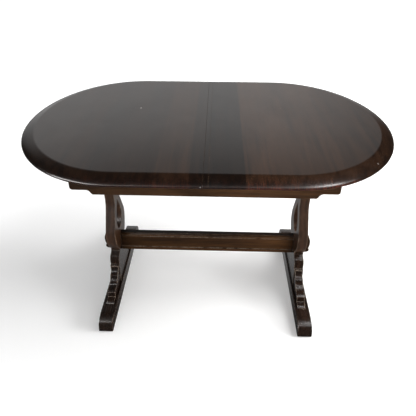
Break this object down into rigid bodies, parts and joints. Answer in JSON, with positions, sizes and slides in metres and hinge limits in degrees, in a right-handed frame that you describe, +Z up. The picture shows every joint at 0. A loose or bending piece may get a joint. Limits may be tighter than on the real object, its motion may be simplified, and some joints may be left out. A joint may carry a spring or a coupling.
{
  "type": "extendable dining table",
  "caption": "Dark oak trestle dining table with a racetrack top in two sliding halves, a rolled edge, lyre end panels and a stored folding leaf.",
  "frame": {"origin": "on the floor, under the centre of the closed table", "axes": "+X along the length towards the half with the lipping strip, +Y to the back, +Z up"},
  "size_m": [1.2, 0.705, 0.75],
  "materials": {
    "top_oak": "dark stained, satin to gloss polish",
    "leaf_oak": "dark stained, satin polish, less worn than the top",
    "rail_oak": "dark stained, thin satin polish",
    "trestle_oak": "dark stained, worn satin polish",
    "plain_beech": "planed, unfinished",
    "brass": "aged, satin",
    "steel_pin": "plain"
  },
  "bodies": {
    "base": {"foot_left": "trestle_oak", "panel_left": "trestle_oak", "bearer_left": "rail_oak", "foot_right": "trestle_oak", "panel_right": "trestle_oak", "bearer_right": "rail_oak", "bracket_left_front": "trestle_oak", "bracket_left_back": "trestle_oak", "bracket_right_front": "trestle_oak", "bracket_right_back": "trestle_oak", "corner_block_left_front": "plain_beech", "corner_block_left_back": "plain_beech", "corner_block_right_front": "plain_beech", "corner_block_right_back": "plain_beech", "rail_front": "rail_oak", "rail_back": "rail_oak", "guide_front": "plain_beech", "guide_back": "plain_beech", "stretcher": "trestle_oak", "wedge_left": "trestle_oak", "leaf_batten_left": "plain_beech", "wedge_right": "trestle_oak", "leaf_batten_right": "plain_beech", "leaf_lower": "leaf_oak", "leaf_upper": "leaf_oak", "leaf_hinge_left_lower": "brass", "leaf_hinge_left_upper": "brass", "leaf_hinge_left_pin": "steel_pin", "leaf_hinge_right_lower": "brass", "leaf_hinge_right_upper": "brass", "leaf_hinge_right_pin": "steel_pin"},
    "left_half": {"top_left": "top_oak", "runner_left_front": "plain_beech", "runner_left_back": "plain_beech", "latch_front_base": "brass", "latch_back_base": "brass"},
    "right_half": {"top_right": "top_oak", "top_right_lipping": "top_oak", "runner_right_front": "plain_beech", "runner_right_back": "plain_beech", "latch_front_keeper": "brass", "latch_back_keeper": "brass", "joint_dowel_front": "plain_beech", "joint_dowel_middle": "plain_beech", "joint_dowel_back": "plain_beech"},
    "latch_front": {"latch_front_lever": "brass"},
    "latch_back": {"latch_back_lever": "brass"}
  },
  "joints": [
    {"name": "left_half_slide", "type": "slide", "parent": "base", "child": "left_half", "axis": [-1, 0, 0], "range_m": [0, 0.2]},
    {"name": "right_half_slide", "type": "slide", "parent": "base", "child": "right_half", "axis": [1, 0, 0], "range_m": [0, 0.2]},
    {"name": "latch_front_turn", "type": "hinge", "parent": "left_half", "child": "latch_front", "pos_m": [-0.045, -0.09, 0.713], "axis": [0, 0, 1], "range_deg": [-90, 0]},
    {"name": "latch_back_turn", "type": "hinge", "parent": "left_half", "child": "latch_back", "pos_m": [-0.045, 0.09, 0.713], "axis": [0, 0, 1], "range_deg": [-90, 0]}
  ]
}
